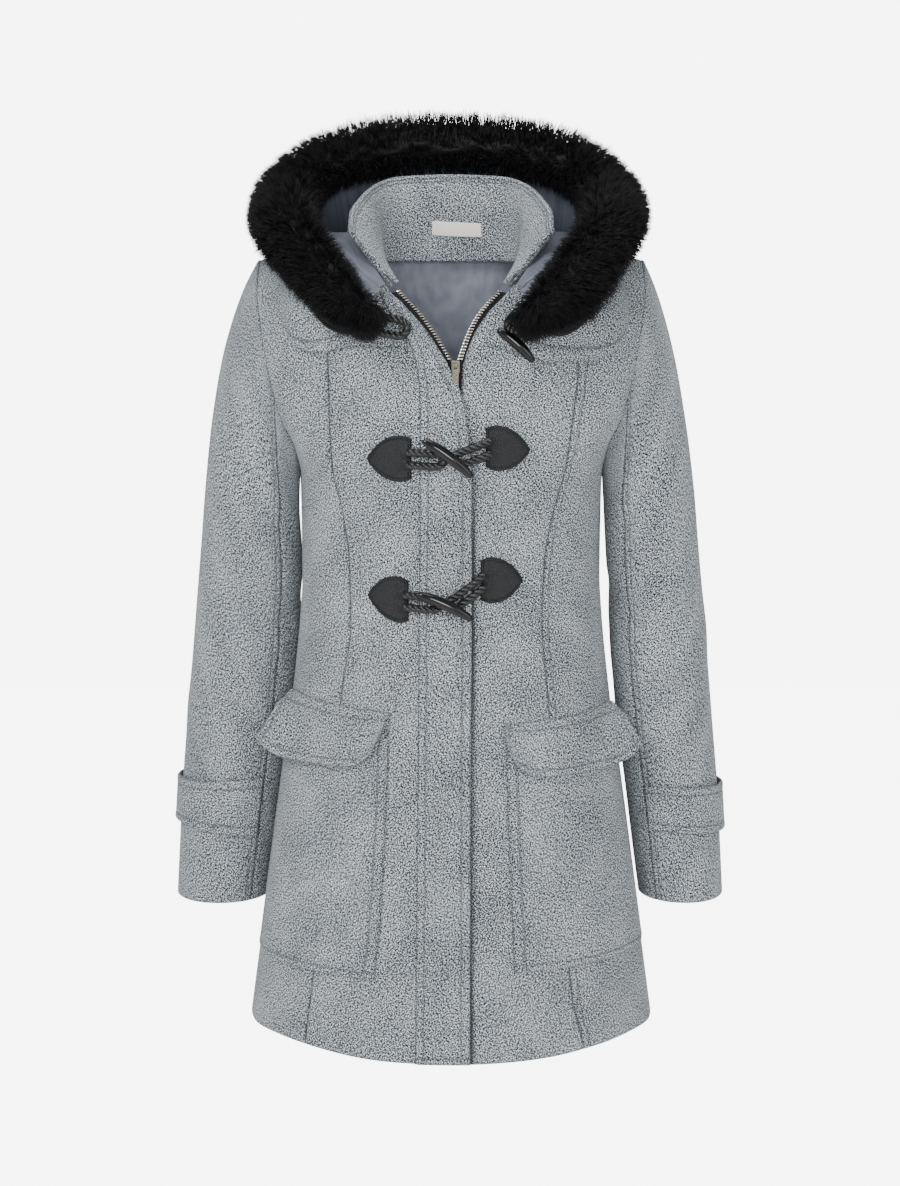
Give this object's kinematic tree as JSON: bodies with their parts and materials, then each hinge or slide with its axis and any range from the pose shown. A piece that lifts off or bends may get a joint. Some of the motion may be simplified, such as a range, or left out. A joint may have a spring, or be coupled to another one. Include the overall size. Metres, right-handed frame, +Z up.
{
  "type": "duffle coat",
  "caption": "Women's hip-length duffle coat in grey wool, hollow as worn, with zip, toggle loops, flap pockets and a fur-trimmed hood.",
  "frame": {"origin": "between the shoulders, level with the foot of the neck, where the wearer's shoulders carry the coat", "axes": "+Z up, the front faces -Y, +X is the right of the picture (the wearer's left)"},
  "size_m": [0.5438, 0.3119, 0.8852],
  "materials": {
    "wool": "heathered grey wool melton, matte",
    "satin": "slate satin",
    "fur": "long black fur",
    "leatherette": "grained, semi-matte",
    "cord": "twisted black rope",
    "horn": "polished black resin",
    "nickel": "polished nickel",
    "zip_tape": "black woven tape",
    "label": "cream woven label, blank"
  },
  "bodies": {
    "coat": {"back_left": "wool", "back_lining": "satin", "back_right": "wool", "collar": "wool", "collar_facing": "wool", "cord_left_low": "cord", "cord_left_mid": "cord", "cord_left_top": "cord", "cord_right_low": "cord", "cord_right_mid": "cord", "cord_right_top": "cord", "flap_left": "wool", "flap_right": "wool", "front_left_centre": "wool", "front_left_side": "wool", "front_right_centre": "wool", "front_right_side": "wool", "fur_trim": "fur", "hood": "wool", "hood_lining": "satin", "neck_label": "label", "patch_left_low": "leatherette", "patch_left_mid": "leatherette", "patch_left_top": "leatherette", "patch_right_low": "leatherette", "patch_right_mid": "leatherette", "patch_right_top": "leatherette", "placket": "wool", "pocket_left": "wool", "pocket_right": "wool", "sleeve_left_top": "wool", "sleeve_left_under": "wool", "sleeve_right_top": "wool", "sleeve_right_under": "wool", "sleeve_tab_left": "wool", "sleeve_tab_right": "wool", "toggle_low": "horn", "toggle_mid": "horn", "toggle_top": "horn", "yoke_left": "wool", "yoke_right": "wool", "zip_chain": "nickel", "zip_slider": "nickel", "zip_tape_left": "zip_tape", "zip_tape_right": "zip_tape", "zip_teeth_left": "nickel", "zip_teeth_right": "nickel"},
    "pull": {"zip_pull": "nickel"}
  },
  "joints": [
    {"name": "pull_hinge", "type": "hinge", "parent": "coat", "child": "pull", "pos_m": [0.004, -0.116, -0.1078], "axis": [-1, 0, 0], "range_deg": [0, 110]}
  ]
}
